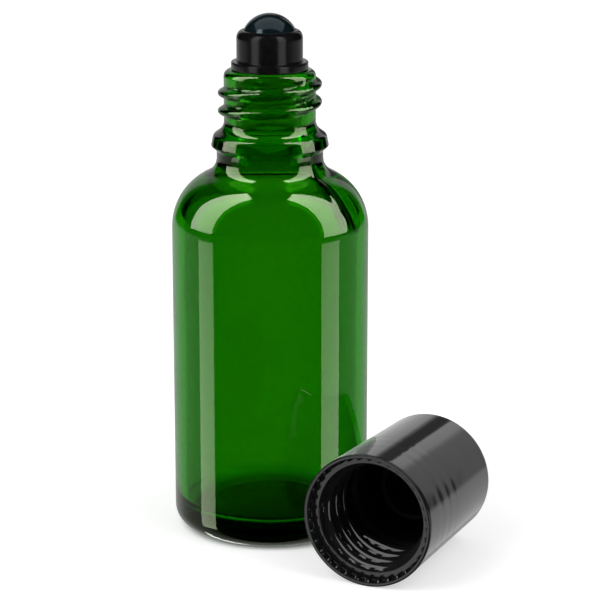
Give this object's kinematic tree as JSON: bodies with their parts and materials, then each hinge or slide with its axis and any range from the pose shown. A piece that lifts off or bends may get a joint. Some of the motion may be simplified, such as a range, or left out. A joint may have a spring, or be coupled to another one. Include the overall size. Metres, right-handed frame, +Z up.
{
  "type": "roll-on bottle",
  "caption": "Small green glass bottle with a roller ball in a housing plugged into its threaded neck, and its screw cap lying on its side next to it.",
  "frame": {"origin": "centre of the bottle's base, on the bottle's axis, at the height of the ring it stands on", "axes": "+Z up along the bottle's axis; +Y along the lying cap, from its mouth to its closed end; +X from the bottle towards the cap"},
  "size_m": [0.055, 0.0387, 0.088],
  "materials": {
    "green_glass": "clear moulded glass, tinted green",
    "natural_plastic": "natural translucent polyethylene",
    "black_plastic": "satin black polypropylene",
    "ball_glass": "polished dark glass or stone, teal black",
    "cap_plastic": "satin charcoal-black moulded plastic"
  },
  "bodies": {
    "bottle": {"bottle": "green_glass"},
    "fitment": {"neck_plug": "natural_plastic", "ball_housing": "black_plastic"},
    "ball": {"roller_ball": "ball_glass"},
    "cap": {"screw_cap": "cap_plastic"}
  },
  "joints": [
    {"name": "fitment_pull", "type": "slide", "parent": "bottle", "child": "fitment", "axis": [0, 0, 1], "range_m": [0, 0.03]},
    {"name": "ball_roll", "type": "hinge", "parent": "fitment", "child": "ball", "pos_m": [0, 0, 0.08325], "axis": [1, 0, 0], "continuous": true},
    {"name": "cap_lift", "type": "slide", "parent": "bottle", "child": "cap", "axis": [0, 0, 1], "range_m": [0, 0.09]}
  ]
}
